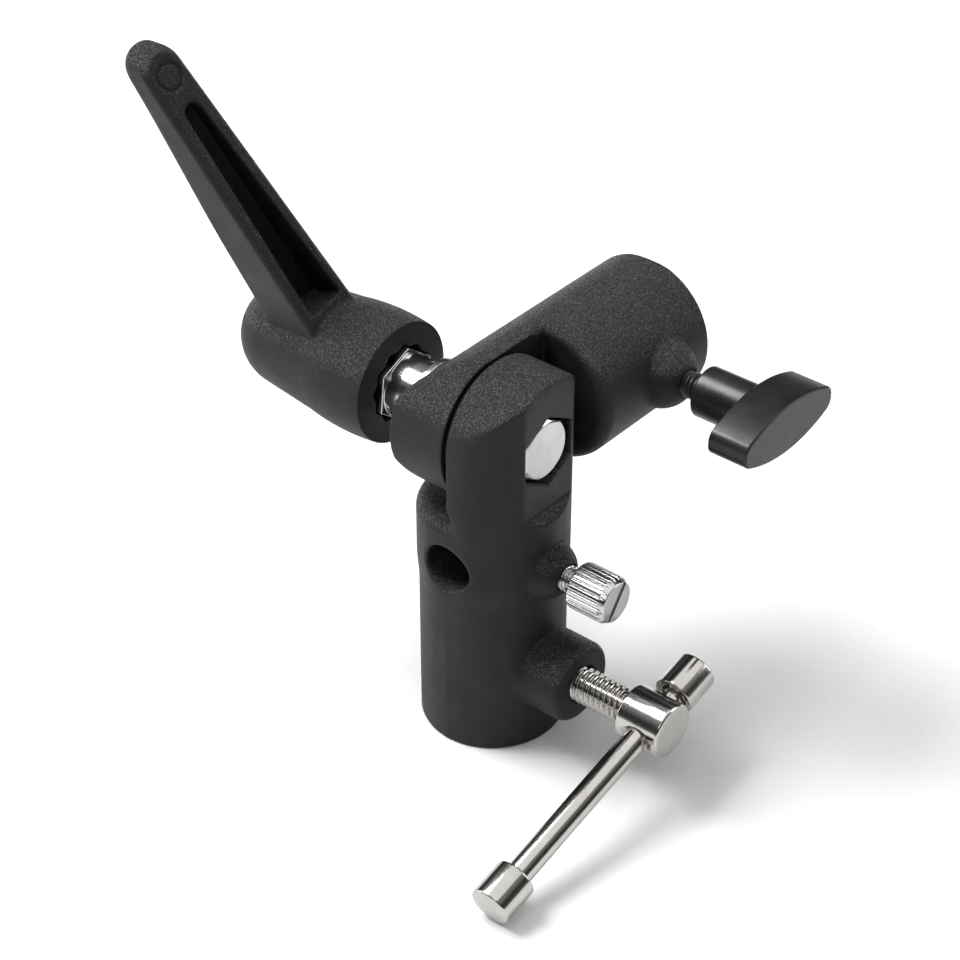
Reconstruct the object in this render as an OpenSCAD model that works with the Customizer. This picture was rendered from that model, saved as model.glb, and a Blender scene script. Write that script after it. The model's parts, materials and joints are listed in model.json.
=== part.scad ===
// Umbrella swivel bracket: a stand socket and a tilting arm socket clamped
// together by a lever. Millimetres. The origin is the centre of the stand
// socket's mouth, +Z runs up the stand socket, +Y runs out along the level
// arm socket, and every clamp screw stands out on the +X side.

/* [Cast sockets] */
// Diameter of both castings
socket_d = 32.2; // [31:0.1:34]
// Diameter of the lower end of the stand socket
foot_d = 31.3; // [30:0.1:31.9]
// Height of the tilt axis above the stand socket's mouth
pivot_h = 72.9; // [72:0.1:78]
// Distance from the tilt axis to the arm socket's mouth
arm_len = 51.8; // [50:0.1:56]
// Gap between the two ears, filled by the friction disc
seam = 1.0; // [0.8:0.1:1.4]
// Distance from the middle plane to each ear's flat
ear_flat = 14.2; // [13.8:0.1:14.6]

/* [Bores] */
// Diameter of the stud bores, for 5/8 in studs
stud_bore_d = 16.2; // [16:0.1:16.4]
// Depth of the stand socket's bore
stand_bore_depth = 36; // [32:0.5:37]
// Depth of the arm socket's bore
arm_bore_depth = 30; // [26:0.5:31]
// Diameter of the umbrella shaft hole
umbrella_d = 11.1; // [10.5:0.1:11.4]
// Height of the umbrella shaft hole
umbrella_z = 45.4; // [45:0.1:46]

/* [Clamp screws] */
// Height of the T-handle screw
t_screw_z = 18.0; // [16:0.5:19]
// Outside diameter of the T-handle screw's thread
t_thread_d = 7.9; // [7.8:0.05:8]
// Length of the sliding bar with its caps
bar_len = 70.2; // [69:0.1:71]
// Diameter of the sliding bar
bar_d = 5.5; // [5.3:0.1:5.6]
// Angle of the bar from vertical, towards +Y
bar_angle = 75.7; // [60:0.1:90]
// Height of the knurled thumb screw
thumb_z = 43.8; // [43.4:0.1:44.6]
// Distance from the tilt axis to the wing screw
wing_y = 38.0; // [37:0.1:39]
// Outside diameter of the small screws' threads
small_thread_d = 5.9; // [5.8:0.05:6]

/* [Clamp lever] */
// Distance from the middle plane to the lever hub's near face
hub_face_x = 24.9; // [24.5:0.1:25.5]
// Angle of the lever from vertical, towards -Y
lever_turn = 17; // [0:1:45]
// Lean of the lever away from the bracket
lever_lean = 26.3; // [20:0.1:30]
// Length of the lever from the hub's surface to the tip
lever_len = 64.8; // [60:0.1:70]

/* [Hidden] */

$fn = 96;
eps = 0.5;                              // overshoot of a cutting tool
slack = 0.05;                           // radial clearance of a running fit
casting = [0.16, 0.16, 0.165];
steel = [0.82, 0.82, 0.84];
nickel = [0.70, 0.69, 0.66];
brass = [0.75, 0.60, 0.33];

// castings
socket_r = socket_d / 2;
ear_r = socket_r - 0.1;                 // round of the ears about the tilt axis
shoulder = socket_r + 0.5;              // tilt axis to the flat shoulder
runout = 4;                             // slope that ends each ear's flat
runout_start = shoulder - 0.2;
taper_z = [35, 43.5];                   // foot diameter grows to socket diameter
rim = 0.4;                              // chamfer of outside rims
shoulder_round = 2.4;                   // round of the shoulder's edge
ear_foot = shoulder + 2 * shoulder_round;
umbrella_rim = 0.5;                     // flare of the umbrella hole's mouths

// bosses on the +X side
t_boss_r = 9.05;
t_boss_face = 24.5;
t_boss_round = 2;
t_boss_start = 12;
thumb_boss = [6.5, 14.2];               // radius and centre of its dome
wing_boss = [7.7, 14.0];

// pivot bolt and its hex pocket
bolt_r = 4;
bolt_af = 13;
bolt_head_h = 5.3;
bolt_seat = 8.3;
pocket_af = 14.3;

// clamp nut, from the washer outwards (distances along -X)
washer_t = 1.6;
washer_r = 9;
nut_start = ear_flat + washer_t;
nut_collar = 7.8;
nut_collar_r = 7.05;
nut_af = 14.7;
nut_hex_end = 32.5;
nut_end = 36.6;
nut_spigot_r = 3.4;
bolt_end = 29.5;
star_af = 15.3;
star_turn = 23;                         // turn of the hex about the tilt axis
star_end = 33.2;
web_end = 36.0;
cavity_r = 5;
lever_screw_r = 2;
lever_screw_tip = 31;
spring_end = 48.6;
seat_t = 1.0;
screw_head_r = 3.5;
screw_head_h = 4;

// lever hub outline, as distance from its near face and radius
hub_belly = 7.5;                        // widest place
hub_belly_r = 14.05;
hub_bow_r = 55.8;                       // bow of the near part
hub_bow_end = 17;
dome_at = 29.9;                         // centre of the domed end
dome_r = 11.95;
dome_start = 83.4;

// lever arm, in its own frame with the front face on x = 0
lever_root = [-40.7, 14];               // x and radius of its foot on the hub
root_half = 6.04;                       // half width of the front face
tip_half = 3.9;
bevel = 0.9;
root_depth = 15.6;
tip_ball = [4.6, 4.2, 2.0];              // radius, depth and place below the tip
tip_r = 4.2;
pocket_root_half = 4.35;
pocket_tip_half = 2.0;
pocket_span = [1.2, 50.4];
pocket_depth = [9, 3.5];

// T-handle screw
t_pad_x = 8.5;
t_pad_t = 1.8;
t_pad_r = 3.1;
t_stem_r = 1.5;
t_stem_l = 3;
barrel_x = [37.3, 47.9];
barrel_r = 6.0;
barrel_rim = 0.4;
bar_x = 42.6;
cap_r = 4.55;
cap_l = 8.7;
cap_round = 0.8;
cap_rim = 0.5;
bar_top = 16.0;                         // upper end, from the screw's axis
bar_in_cap = 6;                         // length of bar inside each cap

// small screws: knurled thumb screw and wing screw
small_pad_r = 2.3;
small_pad_t = 1.4;
small_stem_r = 1.1;
small_stem_l = 2.2;
pad_gap = 0.2;
thumb_pad_x = 5.9;
thumb_head_x = [22.9, 32.4];
thumb_head_r = 5.2;
thumb_head_rim = 0.45;
thumb_slot = [1.25, 1.2];               // width and depth
thumb_slot_turn = -36;
wing_pad_x = 8.5;
wing_collar_x = 25.2;
wing_collar_r = 5.6;
wing_x = [36.8, 46.2];
wing_half = 15.4;                       // half length, to its blunt ends
wing_lens = 19.0;                       // half length of the full pointed oval
wing_half_t = 5.9;
wing_stud_end = 36;

// Arc of points about (cx, cy), from angle a0 to a1, in n steps
function arc(cx, cy, r, a0, a1, n) =
    [for (i = [0:n]) let (a = a0 + (a1 - a0) * i / n) [cx + r * cos(a), cy + r * sin(a)]];

// Turn a shape built along Z so that it runs along +X, -X or +Y
module along_x() rotate([0, 90, 0]) children();
module along_minus_x() rotate([0, -90, 0]) children();
module along_y() rotate([-90, 0, 0]) children();

// Hexagonal bar of width af across its flats
module hex_bar(af, h) cylinder(d = af / cos(30), h = h, $fn = 6);

// Solid of revolution about X: outline points are [distance along X, radius]
module turned_x(outline)
    along_x() rotate_extrude() polygon([for (p = outline) [p[1], p[0]]]);

// The same, with distances counted along -X
module turned_minus_x(outline)
    along_minus_x() rotate_extrude() polygon([for (p = outline) [p[1], p[0]]]);

// One casting before drilling. The tilt axis is X, the socket runs along +Z
// and ends in its mouth; the ear lies on +X and is half as thick.
module socket_blank(len, foot_r, taper) {
    rotate(45) rotate_extrude() polygon(concat([[0, len], [0, shoulder]],
        arc(socket_r - shoulder_round, shoulder + shoulder_round, shoulder_round, 270, 360, 6),
        [[socket_r, taper[0]], [foot_r, taper[1]], [foot_r, len - rim], [foot_r - rim, len]]));
    intersection() {
        translate([0, 0, -socket_r]) cylinder(r = socket_r, h = socket_r + ear_foot);
        union() {
            translate([seam / 2, -ear_r, 0]) cube([socket_r, 2 * ear_r, ear_foot]);
            translate([seam / 2, 0, 0]) along_x() cylinder(r = ear_r, h = socket_r);
        }
    }
}

// Flat across the outside of an ear, with its sloping end
module ear_flat_cut()
    translate([0, socket_r + eps, 0]) rotate([90, 0, 0])
        linear_extrude(socket_d + 2 * eps) polygon([
            [ear_flat, -socket_r - eps], [ear_flat, runout_start - runout],
            [socket_r + eps, runout_start + 1], [socket_r + eps, -socket_r - eps]]);

// Domed boss: a ball of radius dome[0] centred dome[1] out, flat at its tip
module dome_boss(dome, start)
    turned_x(concat([[start, 0]],
        arc(dome[1], 0, dome[0], acos((start - dome[1]) / dome[0]), 16, 16),
        [[dome[1] + dome[0] * cos(16), 0]]));

module t_boss()
    turned_x(concat([[t_boss_start, 0], [t_boss_start, t_boss_r]],
        arc(t_boss_face - t_boss_round, t_boss_r - t_boss_round, t_boss_round, 90, 0, 8),
        [[t_boss_face, 0]]));

module stand_socket() {
    color(casting) difference() {
        union() {
            translate([0, 0, pivot_h]) mirror([0, 0, 1])
                socket_blank(pivot_h, foot_d / 2,
                    [pivot_h - taper_z[1], pivot_h - taper_z[0]]);
            translate([0, 0, t_screw_z]) t_boss();
            translate([0, 0, thumb_z]) dome_boss(thumb_boss, socket_r - 3);
        }
        translate([0, 0, -eps]) cylinder(d = stud_bore_d, h = stand_bore_depth + eps);
        translate([0, -socket_r - eps, umbrella_z]) along_y()
            cylinder(d = umbrella_d, h = socket_d + 2 * eps);
        for (side = [-1, 1])
            translate([0, side * socket_r, umbrella_z]) rotate([side * 90, 0, 0])
                translate([0, 0, -eps]) cylinder(d1 = umbrella_d + 2 * umbrella_rim + 2 * eps,
                    d2 = umbrella_d, h = umbrella_rim + eps);
        translate([0, 0, t_screw_z]) along_x()
            cylinder(d = t_thread_d + 2 * slack, h = socket_d);
        translate([0, 0, thumb_z]) along_x()
            cylinder(d = small_thread_d + 2 * slack, h = socket_d);
        translate([0, 0, pivot_h]) {
            along_x() cylinder(r = bolt_r + slack, h = socket_d);
            translate([bolt_seat, 0, 0]) along_x() hex_bar(pocket_af, socket_d);
            mirror([0, 0, 1]) ear_flat_cut();
        }
    }
}

module arm_socket() {
    color(casting) translate([0, 0, pivot_h]) along_y() difference() {
        union() {
            mirror([1, 0, 0])
                socket_blank(arm_len, socket_r, [arm_len / 2, arm_len / 2 + 1]);
            translate([0, 0, wing_y]) dome_boss(wing_boss, socket_r - 4);
        }
        translate([0, 0, arm_len - arm_bore_depth])
            cylinder(d = stud_bore_d, h = arm_bore_depth + eps);
        translate([0, 0, wing_y]) along_x()
            cylinder(d = small_thread_d + 2 * slack, h = socket_d);
        along_minus_x() cylinder(r = bolt_r + slack, h = socket_d);
        mirror([1, 0, 0]) ear_flat_cut();
    }
}

// Hexagon bolt whose head sits in the stand socket's pocket
module pivot_bolt() {
    color(steel) translate([0, 0, pivot_h]) {
        translate([-bolt_end, 0, 0]) along_x() cylinder(r = bolt_r, h = bolt_end + bolt_seat + 1);
        intersection() {
            translate([bolt_seat, 0, 0]) along_x() hex_bar(bolt_af, bolt_head_h);
            turned_x([[bolt_seat, 0], [bolt_seat, bolt_af],
                [bolt_seat + bolt_head_h - bolt_af * 0.65 * tan(30), bolt_af],
                [bolt_seat + bolt_head_h, bolt_af * 0.45], [bolt_seat + bolt_head_h, 0]]);
        }
    }
}

module friction_disc() {
    color([0.25, 0.24, 0.22]) translate([-seam / 2, 0, pivot_h]) along_x() difference() {
        cylinder(r = ear_r - 1, h = seam);
        translate([0, 0, -eps]) cylinder(r = bolt_r + slack, h = seam + 2 * eps);
    }
}

module arm_washer() {
    color(steel) translate([-ear_flat, 0, pivot_h]) along_minus_x() difference() {
        cylinder(r = washer_r, h = washer_t);
        translate([0, 0, -eps]) cylinder(r = bolt_r + slack, h = washer_t + 2 * eps);
    }
}

module clamp_nut() {
    color(steel) translate([0, 0, pivot_h]) difference() {
        union() {
            translate([-nut_start, 0, 0]) along_minus_x()
                cylinder(r = nut_collar_r, h = nut_collar);
            translate([-nut_start - nut_collar, 0, 0]) rotate([star_turn, 0, 0])
                along_minus_x() rotate(90)
                    hex_bar(nut_af, nut_hex_end - nut_start - nut_collar);
            translate([-nut_hex_end + 1, 0, 0]) along_minus_x()
                cylinder(r = nut_spigot_r, h = nut_end - nut_hex_end + 1);
        }
        translate([-nut_start + eps, 0, 0]) along_minus_x()
            cylinder(r = bolt_r + slack, h = bolt_end - nut_start + 2 * eps);
        along_minus_x() cylinder(r = lever_screw_r + slack, h = nut_end + eps);
    }
}

// Cap screw that keeps the spring in the hub
module lever_screw() {
    head = spring_end + seat_t;
    color(steel) translate([0, 0, pivot_h]) difference() {
        union() {
            translate([-lever_screw_tip, 0, 0]) along_minus_x()
                cylinder(r = lever_screw_r, h = head - lever_screw_tip + 1);
            turned_minus_x([[head, 0], [head, screw_head_r],
                [head + screw_head_h - rim, screw_head_r],
                [head + screw_head_h, screw_head_r - rim], [head + screw_head_h, 0]]);
        }
        translate([-head - screw_head_h / 2, 0, 0]) along_minus_x() hex_bar(3, screw_head_h);
    }
}

module spring_seat() {
    color(steel) translate([-spring_end, 0, pivot_h]) along_minus_x() difference() {
        cylinder(r = cavity_r - 0.3, h = seat_t);
        translate([0, 0, -eps]) cylinder(r = lever_screw_r + slack, h = seat_t + 2 * eps);
    }
}

// Compression spring round the lever screw, one polyhedron swept on a helix
module lever_spring() {
    turns = 4;
    wire_r = 0.35;
    coil_r = 4.1;
    steps = 30;
    sides = 8;
    count = turns * steps;
    lead = (spring_end - web_end - 2 * wire_r - 0.1) / turns;
    points = [for (i = [0:count], j = [0:sides - 1])
        let (a = 360 * i / steps, b = 360 * j / sides, r = coil_r + wire_r * cos(b))
        [-(web_end + wire_r + 0.05 + lead * i / steps) + wire_r * sin(b), r * cos(a), r * sin(a)]];
    walls = [for (i = [0:count - 1], j = [0:sides - 1])
        let (k = (j + 1) % sides)
        [i * sides + j, i * sides + k, (i + 1) * sides + k, (i + 1) * sides + j]];
    ends = [[for (j = [0:sides - 1]) sides - 1 - j], [for (j = [0:sides - 1]) count * sides + j]];
    color(steel) translate([0, 0, pivot_h]) polyhedron(points, concat(walls, ends), convexity = 4);
}

// Outline of the hub from its near face to the rim of the spring cavity
function hub_outline() = concat(
    [[0, 0], [0, hub_belly_r - hub_bow_r * (1 - cos(asin(hub_belly / hub_bow_r)))]],
    [for (i = [1:8]) let (t = hub_bow_end * i / 8)
        [t, hub_belly_r - hub_bow_r * (1 - cos(asin((t - hub_belly) / hub_bow_r)))]],
    arc(dome_at, 0, dome_r, dome_start, 0, 24));

// Lever arm with its front face on x = 0 and its length along Z
module lever_arm() {
    foot = -8;
    tip_z = lever_len - tip_r;
    root_side = root_half + bevel;
    side = tip_half + bevel;
    edge = 1.6;
    difference() {
        hull() {
            translate([-bevel, -root_side, foot]) cube([0.1, 2 * root_side, 1]);
            translate([-0.1, -root_half, foot]) cube([0.1, 2 * root_half, 1]);
            translate([-root_depth, edge - root_side, foot])
                cube([0.1, 2 * (root_side - edge), 1]);
            translate([edge - root_depth, -root_side, foot]) cube([0.1, 2 * root_side, 1]);
            translate([0, 0, tip_z]) rotate([0, -90, 0]) cylinder(r = tip_half, h = 0.1, $fn = 32);
            translate([-bevel, 0, tip_z]) rotate([0, -90, 0])
                cylinder(r = side, h = 0.1, $fn = 32);
            translate([-tip_ball[1], 0, lever_len - tip_ball[2]]) sphere(r = tip_ball[0], $fn = 32);
        }
        hull() {
            translate([-pocket_depth[0], -pocket_root_half, pocket_span[0]])
                cube([pocket_depth[0] + eps, 2 * pocket_root_half, 0.2]);
            translate([eps, 0, pocket_span[1]]) rotate([0, -90, 0])
                cylinder(r = pocket_tip_half, h = pocket_depth[1] + eps, $fn = 32);
        }
    }
}

module lever_handle() {
    hub_len = dome_at + dome_r;
    color(casting) translate([0, 0, pivot_h]) difference() {
        union() {
            translate([-hub_face_x, 0, 0]) turned_minus_x(hub_outline());
            rotate([lever_turn, 0, 0]) translate([lever_root[0], 0, lever_root[1]])
                rotate([0, -lever_lean, 0]) lever_arm();
        }
        for (turn = [0, 30])
            rotate([star_turn + turn, 0, 0]) translate([-hub_face_x + eps, 0, 0])
                along_minus_x() rotate(90) hex_bar(star_af, star_end - hub_face_x + eps);
        translate([-hub_face_x, 0, 0]) along_minus_x()
            cylinder(r = nut_spigot_r + 0.3, h = hub_len + eps);
        translate([-web_end, 0, 0]) along_minus_x() cylinder(r = cavity_r, h = hub_len);
    }
}

// Thrust pad: a disc whose stem turns in the end of its screw
module pad(x, r, t, stem_r, stem_l) {
    translate([x, 0, 0]) along_x() {
        cylinder(r = r, h = t);
        translate([0, 0, t / 2]) cylinder(r = stem_r, h = t / 2 + stem_l);
    }
}

// Threaded shank from its pad to x = end, with the hole for the pad's stem
module shank(x, r, end, stem_r, stem_l)
    difference() {
        translate([x, 0, 0]) along_x() cylinder(r = r, h = end - x);
        translate([x - eps, 0, 0]) along_x()
            cylinder(r = stem_r + slack, h = stem_l + 2 * pad_gap + eps);
    }

module bar_frame()
    translate([bar_x, 0, t_screw_z]) rotate([-bar_angle, 0, 0]) children();

module t_screw() {
    color(nickel) difference() {
        translate([0, 0, t_screw_z]) {
            shank(t_pad_x + t_pad_t + pad_gap, t_thread_d / 2, barrel_x[0] + 1, t_stem_r, t_stem_l);
            turned_x([[barrel_x[0], 0], [barrel_x[0], barrel_r - barrel_rim],
                [barrel_x[0] + barrel_rim, barrel_r], [barrel_x[1] - barrel_rim, barrel_r],
                [barrel_x[1], barrel_r - barrel_rim], [barrel_x[1], 0]]);
        }
        bar_frame() {
            translate([0, 0, -barrel_r - eps])
                cylinder(r = bar_d / 2 + slack, h = 2 * (barrel_r + eps));
            for (end = [0, 1]) mirror([0, 0, end])
                translate([0, 0, barrel_r - 1])
                    cylinder(r1 = bar_d / 2 + slack, r2 = bar_d / 2 + slack + 1.2, h = 1.2);
        }
    }
}

module t_screw_pad()
    color(brass) translate([0, 0, t_screw_z]) pad(t_pad_x, t_pad_r, t_pad_t, t_stem_r, t_stem_l);

module t_bar()
    color(nickel) bar_frame()
        translate([0, 0, bar_top - bar_len + cap_l - bar_in_cap])
            cylinder(d = bar_d, h = bar_len - 2 * (cap_l - bar_in_cap));

// End cap, with its closed face up at z = 0 and the bar in its underside
module bar_cap()
    difference() {
        rotate_extrude() polygon(concat([[0, 0]],
            arc(cap_r - cap_round, -cap_round, cap_round, 90, 0, 6),
            [[cap_r, -cap_l + cap_rim], [cap_r - cap_rim, -cap_l], [0, -cap_l]]));
        translate([0, 0, -cap_l - eps]) cylinder(d = bar_d, h = bar_in_cap + eps);
    }

module t_bar_cap_upper() color(nickel) bar_frame() translate([0, 0, bar_top]) bar_cap();

module t_bar_cap_lower()
    color(nickel) bar_frame() translate([0, 0, bar_top - bar_len]) mirror([0, 0, 1]) bar_cap();

module thumb_screw() {
    color(steel) translate([0, 0, thumb_z]) difference() {
        union() {
            shank(thumb_pad_x + small_pad_t + pad_gap, small_thread_d / 2, thumb_head_x[0] + 1,
                small_stem_r, small_stem_l);
            turned_x([[thumb_head_x[0], 0], [thumb_head_x[0], thumb_head_r - thumb_head_rim],
                [thumb_head_x[0] + thumb_head_rim, thumb_head_r],
                [thumb_head_x[1] - thumb_head_rim, thumb_head_r],
                [thumb_head_x[1], thumb_head_r - thumb_head_rim], [thumb_head_x[1], 0]]);
        }
        rotate([thumb_slot_turn, 0, 0])
            translate([thumb_head_x[1] - thumb_slot[1], -thumb_slot[0] / 2, -thumb_head_r - eps])
                cube([thumb_slot[1] + eps, thumb_slot[0], 2 * (thumb_head_r + eps)]);
    }
}

module thumb_screw_pad()
    color(brass) translate([0, 0, thumb_z])
        pad(thumb_pad_x, small_pad_r, small_pad_t, small_stem_r, small_stem_l);

module wing_frame() translate([0, wing_y, pivot_h]) children();

module wing_stud()
    color("dimgray") wing_frame()
        shank(wing_pad_x + small_pad_t + pad_gap, small_thread_d / 2, wing_stud_end,
            small_stem_r, small_stem_l);

// Knob: a round collar that carries a pointed oval wing
module wing_knob() {
    bow_r = (pow(wing_lens, 2) + pow(wing_half_t, 2)) / (2 * wing_half_t);
    reach = asin(wing_half / bow_r);
    color([0.1, 0.1, 0.1]) wing_frame() difference() {
        union() {
            turned_x([[wing_collar_x, 0], [wing_collar_x, wing_collar_r - rim],
                [wing_collar_x + rim, wing_collar_r], [wing_x[0] + 1, wing_collar_r],
                [wing_x[0] + 1, 0]]);
            translate([wing_x[0], 0, 0]) along_x() rotate(90)
                linear_extrude(wing_x[1] - wing_x[0]) polygon(concat(
                    arc(0, wing_half_t - bow_r, bow_r, 90 + reach, 90 - reach, 24),
                    arc(0, bow_r - wing_half_t, bow_r, 270 + reach, 270 - reach, 24)));
        }
        translate([wing_collar_x - eps, 0, 0]) along_x()
            cylinder(d = small_thread_d, h = wing_stud_end - wing_collar_x + eps);
    }
}

module wing_screw_pad()
    color(brass) wing_frame()
        pad(wing_pad_x, small_pad_r, small_pad_t, small_stem_r, small_stem_l);

stand_socket();
pivot_bolt();
friction_disc();
arm_socket();
arm_washer();
clamp_nut();
lever_screw();
spring_seat();
lever_spring();
lever_handle();
t_screw();
t_screw_pad();
t_bar();
t_bar_cap_upper();
t_bar_cap_lower();
thumb_screw();
thumb_screw_pad();
wing_stud();
wing_knob();
wing_screw_pad();
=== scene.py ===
"""Looks of the umbrella swivel bracket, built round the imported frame.

Castings and turned parts are built as distance fields in millimetres and
meshed here, so that every fillet, chamfer and rounded edge is real geometry.
"""
import json
import math

import bpy
import numpy as np
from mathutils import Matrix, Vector


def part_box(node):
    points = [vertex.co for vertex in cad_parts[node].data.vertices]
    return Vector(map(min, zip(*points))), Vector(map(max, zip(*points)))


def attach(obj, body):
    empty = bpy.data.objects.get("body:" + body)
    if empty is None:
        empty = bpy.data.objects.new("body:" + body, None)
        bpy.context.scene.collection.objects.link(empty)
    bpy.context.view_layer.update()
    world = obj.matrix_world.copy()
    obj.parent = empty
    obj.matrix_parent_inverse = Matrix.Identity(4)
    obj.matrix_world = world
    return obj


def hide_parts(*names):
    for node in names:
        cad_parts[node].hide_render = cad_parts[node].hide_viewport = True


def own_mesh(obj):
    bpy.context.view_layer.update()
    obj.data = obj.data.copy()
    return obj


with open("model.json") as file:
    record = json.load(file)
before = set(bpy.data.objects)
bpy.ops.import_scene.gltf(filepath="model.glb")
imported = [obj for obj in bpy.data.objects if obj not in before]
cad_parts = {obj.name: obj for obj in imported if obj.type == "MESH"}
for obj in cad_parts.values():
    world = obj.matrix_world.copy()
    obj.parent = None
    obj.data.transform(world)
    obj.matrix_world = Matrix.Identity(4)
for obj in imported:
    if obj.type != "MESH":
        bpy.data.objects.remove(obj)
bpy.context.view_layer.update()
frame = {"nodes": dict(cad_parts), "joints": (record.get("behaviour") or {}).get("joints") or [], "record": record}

MM = 1000.0


# ---------------------------------------------------------------- places ----
def corners(node):
    """Lowest and highest corner of a CAD node, in millimetres."""
    low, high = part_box(node)
    return np.array(low) * MM, np.array(high) * MM


def joint(name):
    return next(j for j in frame["joints"] if j["name"] == name)


def joint_place(name):
    return np.array(joint(name)["pos_m"]) * MM


def mount(name):
    return next(m for m in frame["record"]["mounts"] if m["name"] == name)


PIVOT_Z = joint_place("arm_tilt")[2]
T_Z = joint_place("t_turn")[2]
THUMB_Z = joint_place("thumb_turn")[2]
WING_Y = joint_place("wing_turn")[1]
UMBRELLA_Z = mount("umbrella_hole")["pos_m"][2] * MM
UMBRELLA_R = mount("umbrella_hole")["dims"]["r_mm"]
BORE_R = mount("stand_bore")["dims"]["r_mm"]
STAND_BORE = mount("stand_bore")["dims"]["length_mm"]
ARM_BORE = mount("arm_bore")["dims"]["length_mm"]
ARM_END = corners("arm_socket")[1][1]
SOCKET_R = corners("arm_socket")[1][2] - PIVOT_Z
EAR_FLAT = -corners("arm_washer")[1][0]
T_FACE = corners("stand_socket")[1][0]
SEAM = corners("friction_disc")[1][0]
BOLT_FACE = corners("pivot_bolt")[1][0]
BOLT_AF = corners("pivot_bolt")[1][1] - corners("pivot_bolt")[0][1]
BOLT_END = -corners("pivot_bolt")[0][0]
T_PAD = corners("t_screw_pad")
T_SCREW = corners("t_screw")
THUMB_PAD = corners("thumb_screw_pad")
THUMB = corners("thumb_screw")
WING_PAD = corners("wing_screw_pad")
WING = corners("wing_knob")
STUD = corners("wing_stud")
WASHER = corners("arm_washer")
NUT = corners("clamp_nut")
LEVER = corners("lever_handle")
SPRING = corners("lever_spring")
SEAT = corners("spring_seat")
SCREW = corners("lever_screw")

# castings, in millimetres
EAR_R = SOCKET_R - 0.1
FOOT_R = 15.65
SHOULDER = SOCKET_R + 0.5
TAPER = (29.4, 37.9)          # from the tilt axis: where the foot narrows
EAR_EDGE, CORNER = 0.9, 0.4   # roundings of the ear's end and of its root
SLOPE = (13.9, 16.4, 2.0)     # the ear flat's run-out: start, end and rise
T_BOSS_R, T_BOSS_ROUND = 9.05, 2.0
THUMB_DOME = (14.2, 6.5)      # centre and radius
WING_DOME = (14.0, 7.7)
DOME_TIP = math.cos(math.radians(16))
POCKET_AF, POCKET_FLOOR = 14.3, 8.3
BOLT_HOLE_R, CLAMP_HOLE_R, T_HOLE_R = 4.05, 3.05, 4.0
LEAD_IN = 0.8                 # chamfer at the mouths of the two bores
CREASE = (0.45, 2.0, 40.0)    # height, width and start of the parting line

# screws, knob and bar, in millimetres
BOLT_R, NUT_BORE_R, SEAT_HOLE_R = 4.0, 4.1, 2.05
NUT_COLLAR, NUT_COLLAR_R, NUT_AF, NUT_HEX_END, NUT_SPIGOT_R = 23.6, 7.05, 14.7, 32.5, 3.35
CAP_SCREW = {"r": 3.5, "height": 4.0, "key": 3.0, "key_depth": 2.0}
SPRING_WIRE_R, SPRING_R, SPRING_TURNS = 0.35, 4.1, 4
T_SCREW_R, T_PITCH = 3.95, 1.411
BARREL = (37.3, 47.9, 6.0)    # start, end and radius
BAR_X, BAR_R, BAR_FIT = 42.6, 2.75, 0.07
BAR_WAY = Vector(joint("t_bar_slide")["axis"]).normalized()
CAP = {"r": 4.55, "length": 8.7, "depth": 6.0}
CLAMP_R, CLAMP_PITCH = 2.95, 1.0
THUMB_HEAD, HEAD_R, RIDGES, RIDGE_DEPTH = 9.5, 5.2, 25, 0.45
SLOT_TURN, SLOT_HALF, SLOT_DEPTH = math.radians(-36), 0.62, 1.2
WING_PLATE = (WING[1][0] - 9.4, WING[1][0])
WING_HALF = WING[1][1] - WING_Y
WING_LENS, WING_THICK, WING_COLLAR_R = WING_HALF + 3.6, 5.9, 5.6

# lever, distances along -X from the hub's near face
HUB_FACE = -LEVER[1][0]
HUB_BELLY, HUB_BELLY_R, HUB_BOW_R, HUB_BOW_END = 7.5, 14.05, 55.8, 17.0
DOME_AT, DOME_R, DOME_START = 29.9, 11.95, math.radians(83.4)
DOME_EDGE = DOME_AT + DOME_R * math.cos(DOME_START)
STAR_AF, STAR_DEPTH, STAR_TURN = 15.3, 8.3, math.radians(23)
CAVITY_R, CAVITY_START, SPIGOT_HOLE_R = 5.0, 11.1, 3.7
LEVER_TURN, LEVER_LEAN = math.radians(17), math.radians(26.3)
LEVER_ROOT = (-40.7, 14.0)
ARM_FOOT, ARM_LEN = -8.0, 64.8
ROOT_HALF, TIP_HALF, BEVEL, ROOT_DEPTH = 6.04, 3.9, 0.9, 15.6
TIP_BALL = (-4.2, 62.8, 4.6)  # x, z and radius
FINGER_POCKET = ((4.35, 2.0), (1.2, 50.4), (9.0, 3.5))  # half width, span and depth
RING = (59.1, 2.75)           # place along the arm and radius


def bar_reach(node_name, pick):
    """Furthest place of a node along the bar, from the screw's axis."""
    points = np.array([v.co for v in frame["nodes"][node_name].data.vertices]) * MM
    return float(pick((points - np.array((BAR_X, 0, T_Z))) @ np.array(BAR_WAY)))


BAR_TOP = bar_reach("t_bar_cap_upper", np.max)
BAR_BOTTOM = bar_reach("t_bar_cap_lower", np.min)
DRAFT = 1.0


# ---------------------------------------------------------------- fields ----
def join(a, b, r):
    """Union with a fillet of radius r."""
    return np.maximum(r, np.minimum(a, b)) - np.hypot(
        np.maximum(r - a, 0), np.maximum(r - b, 0))


def keep(a, b, r):
    """Intersection with its edge rounded to radius r."""
    return -join(-a, -b, r)


def cut(a, b, r):
    return keep(a, -b, r)


def ramp(t, start, end):
    u = np.clip((t - start) / (end - start), 0, 1)
    return u * u * (3 - 2 * u)


def hexagon(u, v, across):
    """Hexagon with two sides square to u."""
    tilt = math.radians(60)
    sides = [np.abs(u), np.abs(u * math.cos(tilt) + v * math.sin(tilt)),
             np.abs(u * math.cos(tilt) - v * math.sin(tilt))]
    return np.maximum(np.maximum(sides[0], sides[1]), sides[2]) - across / 2


def turned(u, v, angle):
    c, s = math.cos(angle), math.sin(angle)
    return u * c + v * s, v * c - u * s


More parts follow.
